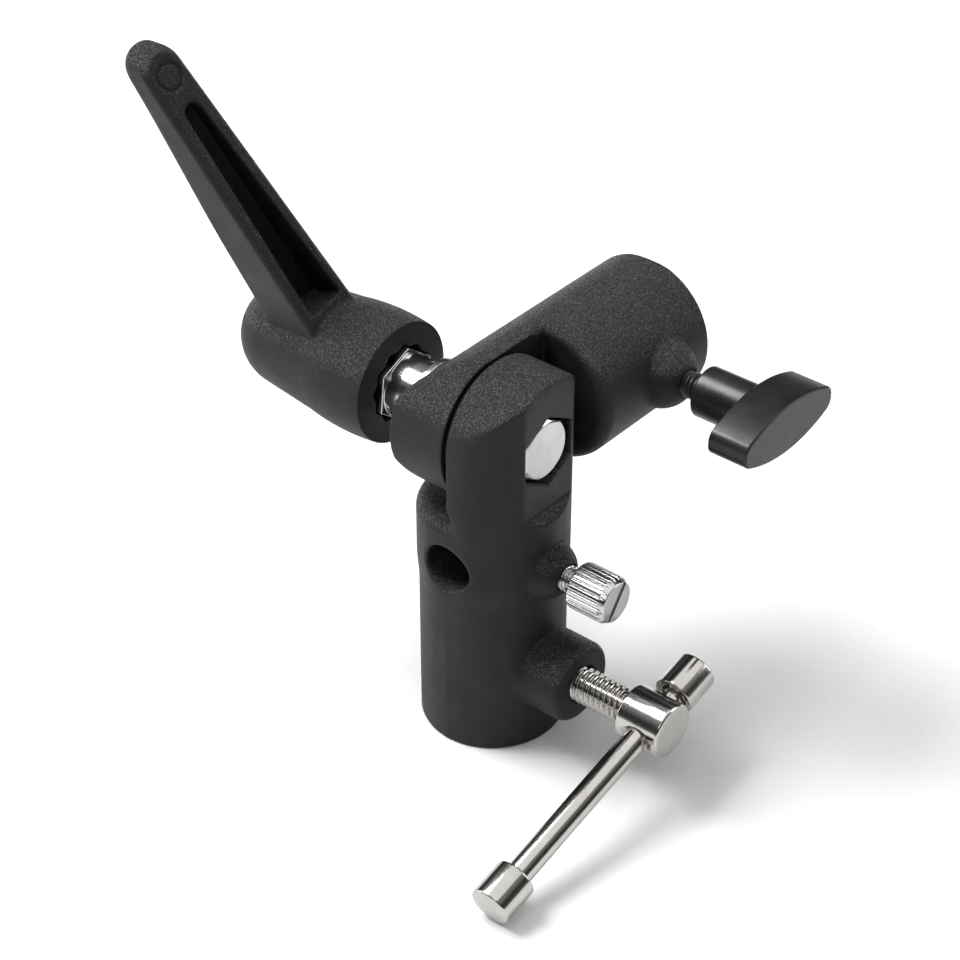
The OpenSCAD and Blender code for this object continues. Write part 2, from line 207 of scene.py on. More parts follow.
def foot_radius(x, d):
    """The stand socket narrows towards its mouth, where its parting line shows."""
    height, width, start = CREASE
    crease = height * np.exp(-np.abs(x) / width) * ramp(d, start, start + 6)
    return SOCKET_R - (SOCKET_R - FOOT_R) * ramp(d, *TAPER) + crease


def casting(x, y, d, length, radius):
    """A socket with its ear on +x. d runs from the tilt axis to the mouth."""
    side = np.hypot(x, y) - radius
    cap = np.where(d < 0, np.hypot(y, d), np.abs(y)) - EAR_R
    body = keep(side, cap, EAR_EDGE)
    body = keep(body, d - length, 0.4)
    ear = join(SEAM - x, SHOULDER - d, CORNER)
    edge = 0.4 + 2.5 * ramp(d, SHOULDER - 5, SHOULDER - 1.5)
    body = keep(body, ear, edge)
    start, end, rise = SLOPE
    run = math.hypot(end - start, rise)
    slope = ((x - EAR_FLAT) * (end - start) - (d - start) * rise) / run
    return keep(body, join(x - EAR_FLAT, slope, 0.3), 0.25)


def dome(x, radial, shape):
    ball = np.hypot(x - shape[0], radial) - shape[1]
    return keep(ball, x - shape[0] - shape[1] * DOME_TIP, 0.7)


def stand_field(x, y, z):
    body = casting(x, y, PIVOT_Z - z, PIVOT_Z, foot_radius(x, PIVOT_Z - z))
    at_t = np.hypot(y, z - T_Z)
    boss = np.maximum(keep(at_t - T_BOSS_R, x - T_FACE, T_BOSS_ROUND), 4 - x)
    body = join(body, boss, 0.4)
    at_thumb = np.hypot(y, z - THUMB_Z)
    body = join(body, np.maximum(dome(x, at_thumb, THUMB_DOME), 4 - x), 0.5)
    bore = np.hypot(x, y) - BORE_R - np.clip(LEAD_IN - z, 0, LEAD_IN)
    body = cut(body, keep(bore, z - STAND_BORE, 1.0), 0.3)
    umbrella = np.hypot(x, z - UMBRELLA_Z) - UMBRELLA_R
    body = cut(body, umbrella, 0.9)
    t_hole = at_t - T_HOLE_R - np.clip(x - T_FACE + 0.5, 0, 0.5)
    body = cut(body, np.maximum(t_hole, -x), 0.25)
    body = cut(body, np.maximum(at_thumb - CLAMP_HOLE_R, -x), 0.25)
    v = z - PIVOT_Z
    body = cut(body, np.maximum(np.hypot(y, v) - BOLT_HOLE_R, -x), 0.25)
    return cut(body, keep(hexagon(y, v, POCKET_AF), POCKET_FLOOR - x, 0.25), 0.3)


def arm_field(x, y, z):
    v = z - PIVOT_Z
    body = casting(-x, v, y, ARM_END, SOCKET_R)
    at_wing = np.hypot(y - WING_Y, v)
    body = join(body, np.maximum(dome(x, at_wing, WING_DOME), 4 - x), 0.5)
    bore = np.hypot(x, v) - BORE_R - np.clip(y - ARM_END + LEAD_IN, 0, LEAD_IN)
    body = cut(body, keep(bore, ARM_END - ARM_BORE - y, 1.0), 0.3)
    body = cut(body, np.maximum(at_wing - CLAMP_HOLE_R, -x), 0.25)
    return cut(body, np.maximum(np.hypot(y, v) - BOLT_HOLE_R, x), 0.25)


def hub_bow(t):
    return HUB_BELLY_R - HUB_BOW_R + (HUB_BOW_R ** 2 - (t - HUB_BELLY) ** 2) ** 0.5


def hub_radius(t):
    """Bowed near the nut, then a straight taper to the dome."""
    start_r, end_r = hub_bow(HUB_BOW_END), DOME_R * math.sin(DOME_START)
    line = start_r + (end_r - start_r) * (t - HUB_BOW_END) / (DOME_EDGE - HUB_BOW_END)
    return np.where(t < HUB_BOW_END, hub_bow(np.clip(t, 0, HUB_BOW_END)), line)


def lever_arm(x, y, z):
    """The lever's arm in its own frame: front face on x = 0, length along z."""
    tip_z = ARM_LEN - 4.2
    root, tip = ROOT_HALF + BEVEL, TIP_HALF + BEVEL
    share = (z - ARM_FOOT) / (tip_z - ARM_FOOT)
    half = root + (tip - root) * share
    back_share = np.clip(x / TIP_BALL[0], 0, 1)
    centre = tip_z + (TIP_BALL[1] - tip_z) * back_share
    width = tip + (TIP_BALL[2] - tip) * back_share
    side = np.where(z < centre, np.abs(y) - half, np.hypot(y, z - centre) - width)
    away = math.hypot(TIP_BALL[0] + ROOT_DEPTH, TIP_BALL[1] - ARM_FOOT)
    lean = math.atan2(TIP_BALL[0] + ROOT_DEPTH, TIP_BALL[1] - ARM_FOOT)
    lean -= math.asin(TIP_BALL[2] / away)
    back = math.sin(lean) * (z - ARM_FOOT) - math.cos(lean) * (x + ROOT_DEPTH)
    body = keep(side, back, 2.0 + 2.4 * ramp(z, 20, tip_z))
    face = half - BEVEL
    slant = np.where(z < tip_z, np.abs(y), np.hypot(y, z - tip_z)) - face
    body = keep(body, (x + slant) / math.sqrt(2), 0.25)
    body = keep(body, x, 0.2)
    body = np.maximum(body, ARM_FOOT - z)
    (h0, h1), (z0, z1), (d0, d1) = FINGER_POCKET
    along = np.clip((z - z0) / (z1 - z0), 0, 1)
    hole = np.where(z < z1, np.abs(y), np.hypot(y, z - z1)) - (h0 + (h1 - h0) * along)
    hole = keep(hole, z0 - z, 1.0)
    hole = keep(hole, -x - (d0 + (d1 - d0) * along), 0.6)
    body = cut(body, hole, 0.3)
    ring = np.hypot(np.hypot(y, z - RING[0]) - RING[1], x) - 0.3
    return cut(body, ring, 0.05)


def lever_field(x, y, z):
    v = z - PIVOT_Z
    t = -x - HUB_FACE
    radial = np.hypot(y, v)
    barrel = radial - hub_radius(t)
    ball = np.hypot(t - DOME_AT, radial) - DOME_R
    hub = keep(np.where(t < DOME_EDGE, barrel, ball), -t, 0.3)
    across, up = turned(y, v, LEVER_TURN)
    up, front = turned(up - LEVER_ROOT[1], x - LEVER_ROOT[0], -LEVER_LEAN)
    body = join(hub, lever_arm(front, across, up), 0.4)
    for extra in (0, math.radians(30)):
        p, q = turned(y, v, STAR_TURN + extra)
        body = cut(body, keep(hexagon(q, p, STAR_AF), t - STAR_DEPTH, 0.3), 0.25)
    body = cut(body, radial - SPIGOT_HOLE_R, 0.2)
    return cut(body, np.maximum(radial - CAVITY_R, CAVITY_START - t), 0.3)


# ---------------------------------------------------------------- meshing ---
def new_object(name, points, faces):
    mesh = bpy.data.meshes.new(name)
    mesh.from_pydata((np.asarray(points) / MM).tolist(), [], faces)
    return show(name, mesh)


def show(name, mesh):
    mesh.polygons.foreach_set("use_smooth", [True] * len(mesh.polygons))
    mesh.update()
    obj = bpy.data.objects.new(name, mesh)
    bpy.context.scene.collection.objects.link(obj)
    return obj


def settled(points, field, cell):
    """Points moved onto the field's surface."""
    step = 0.02
    for _ in range(3):
        at = [points[:, i] for i in range(3)]
        value = field(*at)
        slope = np.empty_like(points)
        for i in range(3):
            ahead = list(at)
            ahead[i] = at[i] + step
            behind = list(at)
            behind[i] = at[i] - step
            slope[:, i] = (field(*ahead) - field(*behind)) / (2 * step)
        size = np.maximum((slope ** 2).sum(1), 0.2)
        move = slope * (value / size)[:, None]
        points = points - np.clip(move, -cell / 2, cell / 2)
    return points


def field_mesh(name, field, low, high, cell):
    """Closed mesh of the surface where the field is 0, by surface nets."""
    cell = cell * DRAFT
    low = np.asarray(low, float) - 2.5 * cell
    count = np.ceil((np.asarray(high, float) + 2.5 * cell - low) / cell).astype(int) + 1
    axes = [(low[i] + cell * np.arange(count[i])).astype(np.float32) for i in range(3)]
    value = field(axes[0][:, None, None], axes[1][None, :, None], axes[2][None, None, :])
    value = np.broadcast_to(value, count)
    inside = value < 0
    whole = tuple(count - 1)
    total = np.zeros(whole, np.uint8)
    shifts = [(i, j, k) for i in (0, 1) for j in (0, 1) for k in (0, 1)]
    for i, j, k in shifts:
        total += inside[i:i + whole[0], j:j + whole[1], k:k + whole[2]]
    active = (total > 0) & (total < 8)
    cells = np.argwhere(active)
    number = np.full(whole, -1, np.int32)
    number[active] = np.arange(len(cells))
    corner = {s: value[tuple((cells + s).T)] for s in shifts}
    place = np.zeros((len(cells), 3))
    weight = np.zeros(len(cells))
    for s in shifts:
        for axis in range(3):
            if s[axis]:
                continue
            other = tuple(1 if i == axis else s[i] for i in range(3))
            a, b = corner[s], corner[other]
            crosses = (a < 0) != (b < 0)
            t = np.where(crosses, a / np.where(crosses, a - b, 1), 0)
            point = np.array(s, float)[None, :].repeat(len(cells), 0)
            point[:, axis] = t
            place += point * crosses[:, None]
            weight += crosses
    points = low + cell * (cells + place / weight[:, None])
    faces = []
    for axis in range(3):
        a = inside.take(range(0, count[axis] - 1), axis)
        b = inside.take(range(1, count[axis]), axis)
        at = np.argwhere(a != b)
        others = [i for i in range(3) if i != axis]
        at = at[(at[:, others] > 0).all(1) & (at[:, others] < count[others] - 1).all(1)]
        ring = []
        for du, dv in ((0, 0), (1, 0), (1, 1), (0, 1)):
            where = at.copy()
            where[:, others[0]] -= du
            where[:, others[1]] -= dv
            ring.append(number[tuple(where.T)])
        ring = np.stack(ring, 1)
        outward = a[tuple(at.T)] == (axis != 1)
        faces.append(np.where(outward[:, None], ring, ring[:, ::-1]))
    faces = np.concatenate(faces)
    points = settled(points, field, cell)
    mesh = bpy.data.meshes.new(name)
    mesh.vertices.add(len(points))
    mesh.vertices.foreach_set("co", (points / MM).astype(np.float32).ravel())
    mesh.loops.add(faces.size)
    mesh.loops.foreach_set("vertex_index", faces.ravel().astype(np.int32))
    mesh.polygons.add(len(faces))
    mesh.polygons.foreach_set("loop_start", np.arange(0, faces.size, 4, dtype=np.int32))
    mesh.update(calc_edges=True)
    mesh.validate()
    return show(name, mesh)


def thinned(obj, triangles):
    """Fewer faces where the surface is flat or evenly curved."""
    now = 2 * len(obj.data.polygons)
    if now <= triangles:
        return obj
    modifier = obj.modifiers.new("thin", "DECIMATE")
    modifier.ratio = triangles / now
    depsgraph = bpy.context.evaluated_depsgraph_get()
    mesh = bpy.data.meshes.new_from_object(obj.evaluated_get(depsgraph))
    obj.modifiers.clear()
    obj.data = mesh
    mesh.polygons.foreach_set("use_smooth", [True] * len(mesh.polygons))
    return obj


def lathe_points(outline, origin, along, sides):
    """Rings round an axis from an outline of (distance, radius)."""
    along = Vector(along).normalized()
    first = along.orthogonal().normalized()
    second = along.cross(first)
    points, rings = [], []
    for t, r in outline:
        if r < 1e-6:
            rings.append([len(points)])
            points.append(Vector(origin) + along * t)
            continue
        rings.append(list(range(len(points), len(points) + sides)))
        for k in range(sides):
            a = 2 * math.pi * k / sides
            points.append(Vector(origin) + along * t
                          + (first * math.cos(a) + second * math.sin(a)) * r)
    return points, rings


def lathe(name, outline, origin, along, sides=96, closed=False):
    """Turned piece. A closed outline goes round a hole."""
    points, rings = lathe_points(outline, origin, along, sides)
    pairs = list(zip(rings, rings[1:]))
    if closed:
        pairs.append((rings[-1], rings[0]))
    faces = []
    for a, b in pairs:
        for k in range(sides):
            n = (k + 1) % sides
            face = [a[k % len(a)], a[n % len(a)], b[n % len(b)], b[k % len(b)]]
            face = list(dict.fromkeys(face))
            if len(face) > 2:
                faces.append(face[::-1])
    return new_object(name, [list(p) for p in points], faces)


def rounded(outline, radius, steps=4):
    """An outline with every inner corner rounded, as far as it fits."""
    pts = [Vector(p) for p in outline]
    out = [tuple(pts[0])]
    for before, at, after in zip(pts, pts[1:], pts[2:]):
        a, b = (before - at), (after - at)
        reach = min(radius, a.length * 0.45, b.length * 0.45)
        a, b = at + a.normalized() * reach, at + b.normalized() * reach
        for i in range(steps + 1):
            t = i / steps
            out.append(tuple(a * (1 - t) ** 2 + at * 2 * t * (1 - t) + b * t * t))
    return out + [tuple(pts[-1])]


def merged(name, *objs):
    """One object from several, each a closed shell."""
    bpy.ops.object.select_all(action="DESELECT")
    for o in objs:
        o.select_set(True)
    bpy.context.view_layer.objects.active = objs[0]
    bpy.ops.object.join()
    objs[0].name = name
    objs[0].data.name = name
    return objs[0]


def thread(name, major, pitch, start, end, centre, ends=(True, True)):
    """Right-handed thread along +X from x = start to x = end."""
    sides = 72
    depth = 0.55 * pitch
    steps = int(round((end - start) / pitch * 12))
    points, faces = [], []
    for i in range(steps + 1):
        x = start + (end - start) * i / steps
        for k in range(sides):
            a = 2 * math.pi * k / sides
            phase = (x / pitch - k / sides) % 1.0
            rise = 0.5 + 0.5 * math.cos(2 * math.pi * phase)
            r = major - depth * rise
            if ends[0]:
                r = min(r, major - depth * 1.05 + (x - start))
            if ends[1]:
                r = min(r, major - depth * 1.05 + (end - x))
            points.append((x, centre[1] + r * math.cos(a), centre[2] + r * math.sin(a)))
    for i in range(steps):
        for k in range(sides):
            n = (k + 1) % sides
            faces.append([(i + 1) * sides + k, (i + 1) * sides + n, i * sides + n, i * sides + k])
    for ring, flip in ((0, False), (steps, True)):
        middle = len(points)
        points.append((start if ring == 0 else end, centre[1], centre[2]))
        for k in range(sides):
            face = [middle, ring * sides + k, ring * sides + (k + 1) % sides]
            faces.append(face if flip else face[::-1])
    return new_object(name, points, faces)


# -------------------------------------------------------------- materials ---
def material(name, base, rough, metal=0.0):
    mat = bpy.data.materials.new(name)
    mat.use_nodes = True
    shader = mat.node_tree.nodes["Principled BSDF"]
    shader.inputs["Base Color"].default_value = (*base, 1)
    shader.inputs["Roughness"].default_value = rough
    shader.inputs["Metallic"].default_value = metal
    return mat, mat.node_tree, shader


def node(tree, kind, **values):
    made = tree.nodes.new(kind)
    for key, value in values.items():
        if key in made.inputs:
            made.inputs[key].default_value = value
        else:
            setattr(made, key, value)
    return made


def noise(tree, size_mm, detail=2.0, rough=0.5, stretch=None):
    """Noise whose features are about size_mm across."""
    place = node(tree, "ShaderNodeTexCoord")
    source = place.outputs["Object"]
    if stretch:
        mapping = node(tree, "ShaderNodeMapping", Scale=stretch)
        tree.links.new(source, mapping.inputs["Vector"])
        source = mapping.outputs["Vector"]
    made = node(tree, "ShaderNodeTexNoise", Scale=MM / size_mm, Detail=detail, Roughness=rough)
    tree.links.new(source, made.inputs["Vector"])
    return made.outputs["Fac"]


def spread(tree, source, low, high, a, b):
    """A source's values from low to high, mapped to a to b."""
    made = node(tree, "ShaderNodeMapRange")
    for key, value in (("From Min", low), ("From Max", high), ("To Min", a), ("To Max", b)):
        made.inputs[key].default_value = value
    tree.links.new(source, made.inputs["Value"])
    return made.outputs["Result"]


def colours(tree, source, low, high, dark, light):
    made = node(tree, "ShaderNodeValToRGB")
    made.color_ramp.elements[0].position = low
    made.color_ramp.elements[1].position = high
    made.color_ramp.elements[0].color = (*dark, 1)
    made.color_ramp.elements[1].color = (*light, 1)
    tree.links.new(source, made.inputs["Fac"])
    return made.outputs["Color"]


def bump(tree, shader, layers, strength=1.0):
    """Height layers, each a source and its height in millimetres."""
    normal = None
    for source, height in layers:
        made = node(tree, "ShaderNodeBump", Strength=strength, Distance=height / MM)
        tree.links.new(source, made.inputs["Height"])
        if normal is not None:
            tree.links.new(normal, made.inputs["Normal"])
        normal = made.outputs["Normal"]
    tree.links.new(normal, shader.inputs["Normal"])


def product(tree, a, b):
    made = node(tree, "ShaderNodeMath", operation="MULTIPLY")
    tree.links.new(a, made.inputs[0])
    tree.links.new(b, made.inputs[1])
    return made.outputs[0]


def powder_coat():
    """Sandy black powder coat, smoother where the coat is less grainy. Its pale specks are painted into the colour
    where the coat is grainy, so mostly on faces that look up, and are painted glints of the top light.
    """
    mat, tree, shader = material("powder_coat", (0.014, 0.014, 0.0145), 0.5)
    shader.inputs["Specular IOR Level"].default_value = 0.38
    grain_glint = node(tree, "ShaderNodeAttribute", attribute_name="grain_glint").outputs["Fac"]
    sand = noise(tree, 0.34, 2.0, 0.7)
    fine = noise(tree, 0.25, 1.0)
    broad = noise(tree, 9.0, 3.0)
    speck = product(tree, sand, grain_glint)
    # painted glints: the light end of this colour ramp gives pale specks, mostly on faces that look up
    tint = colours(tree, speck, 0.48, 0.62, (0.002, 0.002, 0.0022), (0.07, 0.07, 0.071))
    tree.links.new(tint, shader.inputs["Base Color"])
    dull = node(tree, "ShaderNodeMath", operation="MULTIPLY_ADD")
    tree.links.new(spread(tree, speck, 0.46, 0.6, 0.3, 0.0), dull.inputs[0])
    tree.links.new(grain_glint, dull.inputs[1])
    least = product(tree, spread(tree, grain_glint, 0.25, 1.0, 0.52, 0.3),
                    spread(tree, broad, 0.3, 0.7, 0.9, 1.1))
    tree.links.new(least, dull.inputs[2])
    tree.links.new(dull.outputs[0], shader.inputs["Roughness"])
    bump(tree, shader, [(speck, 0.6), (product(tree, fine, grain_glint), 0.06), (broad, 0.05)])
    return mat


def bright_metal(name, base, rough, scratch, stretch=None):
    """Plated steel with faint polishing marks and uneven brightness."""
    mat, tree, shader = material(name, base, rough, 1.0)
    cloud = noise(tree, 3.0, 3.0)
    marks = noise(tree, 0.25, 3.0, 0.6, stretch)
    tint = colours(tree, cloud, 0.3, 0.75, tuple(0.88 * c for c in base), base)
    tree.links.new(tint, shader.inputs["Base Color"])
    tree.links.new(spread(tree, marks, 0.3, 0.7, rough * 0.75, rough * 1.35),
                   shader.inputs["Roughness"])
    bump(tree, shader, [(marks, scratch), (cloud, scratch * 4)], 0.6)
    return mat


def moulded_black():
    mat, tree, shader = material("moulded_black", (0.009, 0.009, 0.0095), 0.3)
    shader.inputs["Specular IOR Level"].default_value = 0.34
    cloud = noise(tree, 5.0, 3.0)
    skin = noise(tree, 0.5, 2.0)
    tint = colours(tree, cloud, 0.3, 0.7, (0.007, 0.007, 0.0075), (0.013, 0.013, 0.0135))
    tree.links.new(tint, shader.inputs["Base Color"])
    tree.links.new(spread(tree, cloud, 0.3, 0.7, 0.26, 0.38), shader.inputs["Roughness"])
    bump(tree, shader, [(skin, 0.006), (cloud, 0.05)])
    return mat


def black_oxide():
    mat, tree, shader = material("black_oxide", (0.05, 0.05, 0.052), 0.35, 0.8)
    specks = noise(tree, 0.3, 3.0)
    tint = colours(tree, specks, 0.3, 0.75, (0.02, 0.02, 0.021), (0.09, 0.09, 0.092))
    tree.links.new(tint, shader.inputs["Base Color"])
    tree.links.new(spread(tree, specks, 0.3, 0.7, 0.28, 0.45), shader.inputs["Roughness"])
    bump(tree, shader, [(specks, 0.01)])
    return mat


def pressed_fibre():
    mat, tree, shader = material("pressed_fibre", (0.02, 0.019, 0.018), 0.85)
    fibres = noise(tree, 0.5, 4.0, 0.7, (1, 1, 4))
    tint = colours(tree, fibres, 0.35, 0.7, (0.012, 0.011, 0.01), (0.05, 0.046, 0.042))
    tree.links.new(tint, shader.inputs["Base Color"])
    bump(tree, shader, [(fibres, 0.08)])
    return mat


COAT = powder_coat()
ZINC = bright_metal("bright_zinc", (0.56, 0.56, 0.573), 0.15, 0.003)
NICKEL = bright_metal("polished_nickel", (0.51, 0.496, 0.474), 0.12, 0.006)
WIRE = bright_metal("spring_wire", (0.6, 0.6, 0.61), 0.3, 0.004)
BRASS = bright_metal("turned_brass", (0.72, 0.55, 0.28), 0.28, 0.004)
KNOB = moulded_black()
OXIDE = black_oxide()
FIBRE = pressed_fibre()


# ----------------------------------------------------------------- pieces ---
def finish_piece(obj, mat, body, slot, *nodes):
    obj.data.materials.clear()
    obj.data.materials.append(mat)
    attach(obj, body)
    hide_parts(*nodes)
    return obj


def set_grain_glint(obj, rule):
    """Stores how grainy the coat is at each vertex, which also sets how many painted glints it shows."""
    count = len(obj.data.vertices)
    place = np.empty(count * 3, np.float32)
    facing = np.empty(count * 3, np.float32)
    obj.data.vertices.foreach_get("co", place)
    obj.data.vertices.foreach_get("normal", facing)
    value = rule(place.reshape(-1, 3) * MM, facing.reshape(-1, 3))
    layer = obj.data.attributes.new("grain_glint", "FLOAT", "POINT")
    layer.data.foreach_set("value", value.astype(np.float32))


def top_grain_glint(n):
    """Rises from 0.25 on faces that look sideways or down to 1 on faces that look up: more bump and roughness
    there, and more painted glints in the coat's colour.
    """
    return 0.25 + 0.75 * ramp(n[:, 2], -0.1, 0.6)


def socket_grain_glint(side):
    """Machined and die-smooth faces across X are less grainy and show fewer painted glints."""
    def rule(p, n):
        flat = ramp(n[:, 0] * side, 0.95, 0.995) * (p[:, 0] * side > EAR_FLAT - 1)
        seam = ramp(np.abs(n[:, 0]), 0.9, 0.99) * (np.abs(p[:, 0]) < SEAM + 0.3)
        return top_grain_glint(n) * (1 - 0.75 * np.clip(flat + seam, 0, 1))
    return rule


# less grainy near the hub's face, with fewer painted glints there
def lever_grain_glint(p, n):
    near = ramp(n[:, 0], 0.9, 0.99) * (p[:, 0] > -HUB_FACE - 1)
    return top_grain_glint(n) * (1 - 0.7 * near)


def stand_socket():
    low, high = corners("stand_socket")
    obj = field_mesh("stand_casting", stand_field, low, high, 0.3)
    obj = thinned(obj, 190000)
    set_grain_glint(obj, socket_grain_glint(1))
    finish_piece(obj, COAT, "base", "cast_black", "stand_socket")


def arm_socket():
    low, high = corners("arm_socket")
    obj = field_mesh("arm_casting", arm_field, low, high, 0.3)
    obj = thinned(obj, 170000)
    set_grain_glint(obj, socket_grain_glint(-1))
    finish_piece(obj, COAT, "arm", "cast_black", "arm_socket")


def lever_handle():
    low, high = LEVER
    obj = field_mesh("clamp_lever", lever_field, low, high, 0.25)
    obj = thinned(obj, 170000)
    set_grain_glint(obj, lever_grain_glint)
    finish_piece(obj, COAT, "lever", "cast_black", "lever_handle")


def friction_disc():
    r = corners("friction_disc")[1][1]
    outline = rounded([(-SEAM, 4.1), (-SEAM, r - 0.2), (0, r), (SEAM, r - 0.2), (SEAM, 4.1)],
                      0.2)
    obj = lathe("friction_ring", outline, (0, 0, PIVOT_Z), (1, 0, 0), closed=True)
    finish_piece(obj, FIBRE, "base", "fibre", "friction_disc")


def bolt_head_field(x, y, z):
    v = z - PIVOT_Z
    radial = np.hypot(y, v)
    body = keep(hexagon(y, v, BOLT_AF), x - BOLT_FACE, 0.12)
    cone = (radial - BOLT_AF * 0.47 + (x - BOLT_FACE) * math.tan(math.radians(60))) * 0.5
    body = keep(body, cone, 0.12)
    body = keep(body, POCKET_FLOOR - x, 0.15)
    shank = np.maximum(radial - BOLT_R, x - POCKET_FLOOR - 0.5)
    return join(body, np.maximum(shank, POCKET_FLOOR - 4 - x), 0.3)


def pivot_bolt():
    head = field_mesh("bolt_head", bolt_head_field, (POCKET_FLOOR - 4, -7.5, PIVOT_Z - 7.6),
                      (BOLT_FACE, 7.5, PIVOT_Z + 7.6), 0.17)
    neck = [(-14, 0), (-14, BOLT_R - 0.1), (-13.9, BOLT_R), (5.0, BOLT_R), (5.0, 0)]
    neck = lathe("bolt_neck", neck, (0, 0, PIVOT_Z), (1, 0, 0))
    shank = thread("bolt_thread", BOLT_R, 1.25, -BOLT_END, -13.5, (0, 0, PIVOT_Z))
    obj = merged("pivot_screw", head, neck, shank)
    finish_piece(obj, ZINC, "base", "bright_zinc", "pivot_bolt")


def arm_washer():
    low, high = WASHER
    r = high[1]
    outline = rounded([(low[0], 4.15), (low[0], r), (high[0], r), (high[0], 4.15)], 0.3)
    obj = lathe("spot_washer", outline, (0, 0, PIVOT_Z), (1, 0, 0), closed=True)
    finish_piece(obj, ZINC, "washer", "bright_zinc", "arm_washer")


def nut_field(x, y, z):
    """Round collar against the washer, then the hexagon that the lever turns."""
    v = z - PIVOT_Z
    t = -x
    radial = np.hypot(y, v)
    p, q = turned(y, v, STAR_TURN)
    body = keep(hexagon(q, p, NUT_AF), NUT_COLLAR - t, 0.15)
    body = keep(body, t - NUT_HEX_END, 0.3)
    collar = keep(radial - NUT_COLLAR_R, -NUT[1][0] - t, 0.25)
    body = join(body, np.maximum(collar, t - NUT_COLLAR - 1), 0.12)
    spigot = keep(radial - NUT_SPIGOT_R, t + NUT[0][0], 0.3)
    body = join(body, np.maximum(spigot, NUT_HEX_END - 1 - t), 0.3)
    body = cut(body, keep(radial - NUT_BORE_R, t - BOLT_END - 0.5, 0.3), 0.25)
    return cut(body, radial - SEAT_HOLE_R, 0.15)


def clamp_nut():
    low, high = NUT
    obj = field_mesh("hex_nut", nut_field, low, high, 0.19)
    finish_piece(obj, ZINC, "nut", "bright_zinc", "clamp_nut")


def lever_screw_field(x, y, z):
    v = z - PIVOT_Z
    t = -x
    radial = np.hypot(y, v)
    end = -SCREW[0][0]
    head = keep(radial - CAP_SCREW["r"], t - end, 0.4)
    head = keep(head, end - CAP_SCREW["height"] - t, 0.2)
    key = keep(hexagon(y, v, CAP_SCREW["key"]), end - CAP_SCREW["key_depth"] - t, 0.1)
    return cut(head, key, 0.15)


def lever_screw():
    start, r = SCREW[0][0], CAP_SCREW["r"]
    head = field_mesh("screw_head", lever_screw_field, (start, -r, PIVOT_Z - r),
                      (start + CAP_SCREW["height"], r, PIVOT_Z + r), 0.13)
    shank = thread("screw_thread", 2, 0.7, start + 3.5, SCREW[1][0], (0, 0, PIVOT_Z))
    obj = merged("retaining_screw", head, shank)
    finish_piece(obj, ZINC, "nut", "bright_zinc", "lever_screw")


def spring_seat():
    low, high = SEAT
    outline = rounded([(low[0], SEAT_HOLE_R), (low[0], high[1]), (high[0], high[1]),
                       (high[0], SEAT_HOLE_R)], 0.2)
    obj = lathe("seat_washer", outline, (0, 0, PIVOT_Z), (1, 0, 0), 64, closed=True)
    finish_piece(obj, ZINC, "nut", "bright_zinc", "spring_seat")


def lever_spring():
    low, high = SPRING
    steps, sides = 72, 14
    start, end = high[0] - SPRING_WIRE_R, low[0] + SPRING_WIRE_R
    points, faces = [], []
    count = SPRING_TURNS * steps
    for i in range(count + 1):
        share = i / count
        a = 2 * math.pi * SPRING_TURNS * share
        x = start + (end - start) * share
        out = Vector((0, math.cos(a), math.sin(a)))
        for j in range(sides):
            b = 2 * math.pi * j / sides
            p = Vector((x, 0, PIVOT_Z)) + out * (SPRING_R + SPRING_WIRE_R * math.cos(b))
            points.append(p + Vector((SPRING_WIRE_R * math.sin(b), 0, 0)))
    for i in range(count):
        for j in range(sides):
            n = (j + 1) % sides
            faces.append([i * sides + j, (i + 1) * sides + j, (i + 1) * sides + n, i * sides + n])
    faces.append(list(range(sides)))
    faces.append([count * sides + j for j in reversed(range(sides))])
    obj = new_object("return_spring", [list(p) for p in points], faces)
    finish_piece(obj, WIRE, "nut", "spring_steel", "lever_spring")
    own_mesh(obj)


def barrel_field(x, y, z):
    v = z - T_Z
    start, end, r = BARREL
    body = keep(keep(np.hypot(y, v) - r, x - end, 0.7), start - x, 0.4)
    along = y * BAR_WAY[1] + v * BAR_WAY[2]
    across = np.hypot(x - BAR_X, y * BAR_WAY[2] - v * BAR_WAY[1])
    mouth = np.clip(np.abs(along) - (r - 1.2), 0, 2)
    return cut(body, (across - BAR_R - BAR_FIT - mouth) * 0.85, 0.2)


def t_screw():
    start, end, r = BARREL
    barrel = field_mesh("barrel", barrel_field, (start, -r, T_Z - r), (end, r, T_Z + r), 0.17)
    shank = thread("t_thread", T_SCREW_R, T_PITCH, T_SCREW[0][0], start + 0.6,
                   (0, 0, T_Z), (True, False))
    obj = merged("t_handle_screw", barrel, shank)
    finish_piece(obj, NICKEL, "t_screw", "nickel", "t_screw")


def pad(name, box, thick, stem_r, centre, body, node_name):
    """Thrust pad: a disc towards -X on a stem that sits in its screw."""
    low, high = box
    r = high[2] - centre[2]
    face = low[0]
    outline = [(face, 0)] + rounded([(face, 0.01), (face, r), (face + thick, r),
                                     (face + thick, stem_r), (high[0], stem_r), (high[0], 0.01)],
                                    0.3) + [(high[0], 0)]
    obj = lathe(name, outline, (0, centre[1], centre[2]), (1, 0, 0), 64)
    finish_piece(obj, BRASS, body, "brass_pad", node_name)


def t_bar():
    low = BAR_BOTTOM + CAP["length"] - CAP["depth"]
    high = BAR_TOP - CAP["length"] + CAP["depth"]
    outline = rounded([(low, 0), (low, BAR_R), (high, BAR_R), (high, 0)], 0.3)
    obj = lathe("sliding_bar", outline, (BAR_X, 0, T_Z), BAR_WAY, 96)
    finish_piece(obj, NICKEL, "t_bar", "nickel", "t_bar")


